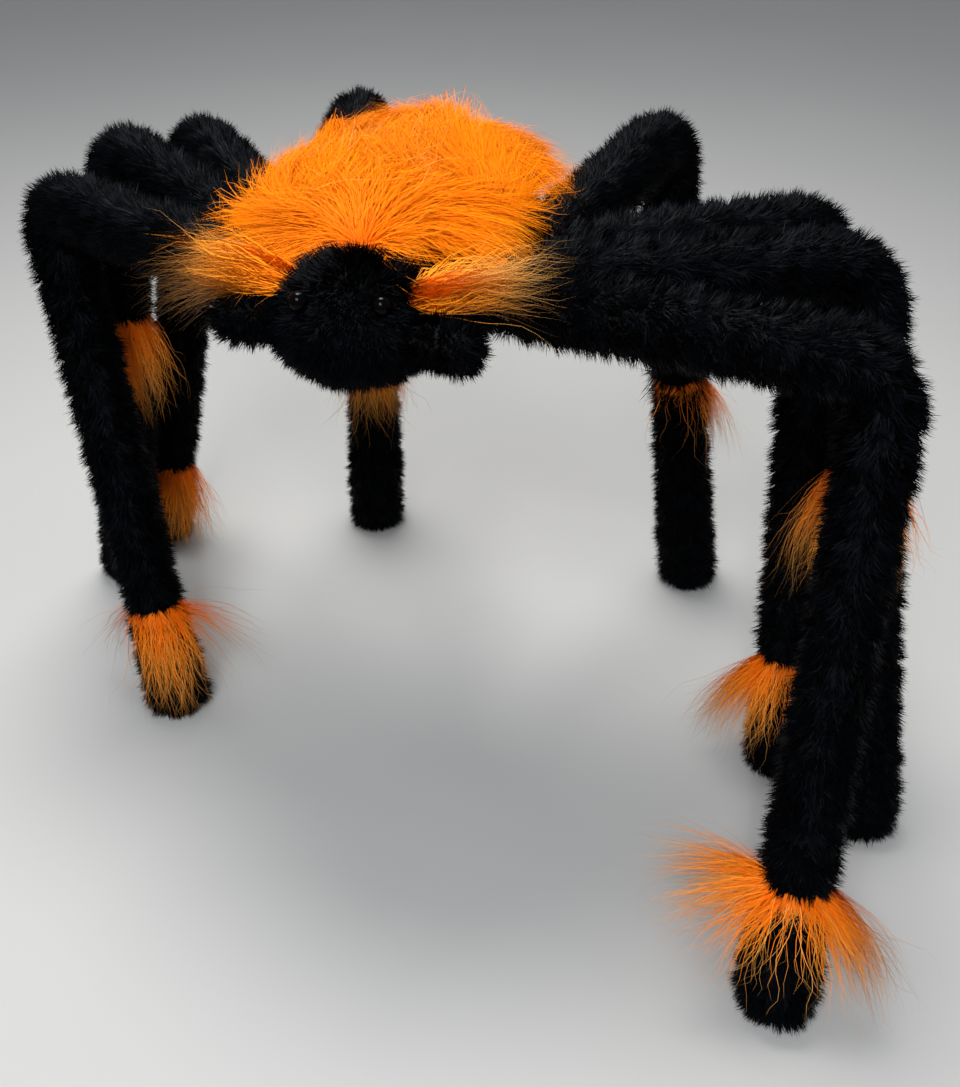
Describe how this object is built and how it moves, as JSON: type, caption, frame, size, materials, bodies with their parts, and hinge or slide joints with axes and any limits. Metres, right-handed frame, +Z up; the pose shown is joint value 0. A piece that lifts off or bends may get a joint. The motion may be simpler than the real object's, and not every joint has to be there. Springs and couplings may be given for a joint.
{
  "type": "plush spider decoration",
  "caption": "Posable plush spider with long bent legs, a round head with domed eyes, and long orange fur on its back, cheeks and legs.",
  "frame": {"origin": "middle of the footprint's bounding box, on the floor under the soles", "axes": "+X to the spider's left and along its longest side, -Y the way it faces, +Z up"},
  "size_m": [0.788, 0.5296, 0.5037],
  "materials": {
    "black_plush": "short clumpy black plush pile, about 9 mm long, on a stuffed tube or ball",
    "orange_fur": "long shaggy orange faux fur, 60 to 110 mm long, redder in its folds and golden at its thin tips",
    "glossy_black": "polished black plastic dome"
  },
  "bodies": {
    "root": {"back_fur": "orange_fur", "body": "black_plush", "head": "black_plush", "left_eye": "glossy_black", "right_eye": "glossy_black", "left_palp": "black_plush", "right_palp": "black_plush", "left_cheek_tuft": "orange_fur", "right_cheek_tuft": "orange_fur", "left_leg_1_upper": "black_plush", "left_leg_1_fur_band": "orange_fur", "left_leg_1_lower": "black_plush", "left_leg_2_upper": "black_plush", "left_leg_2_fur_band": "orange_fur", "left_leg_2_lower": "black_plush", "left_leg_3_upper": "black_plush", "left_leg_3_fur_band": "orange_fur", "left_leg_3_lower": "black_plush", "left_leg_4_upper": "black_plush", "left_leg_4_fur_band": "orange_fur", "left_leg_4_lower": "black_plush", "right_leg_1_upper": "black_plush", "right_leg_1_fur_band": "orange_fur", "right_leg_1_lower": "black_plush", "right_leg_2_upper": "black_plush", "right_leg_2_fur_band": "orange_fur", "right_leg_2_lower": "black_plush", "right_leg_3_upper": "black_plush", "right_leg_3_fur_band": "orange_fur", "right_leg_3_lower": "black_plush", "right_leg_4_upper": "black_plush", "right_leg_4_fur_band": "orange_fur", "right_leg_4_lower": "black_plush"}
  },
  "joints": []
}
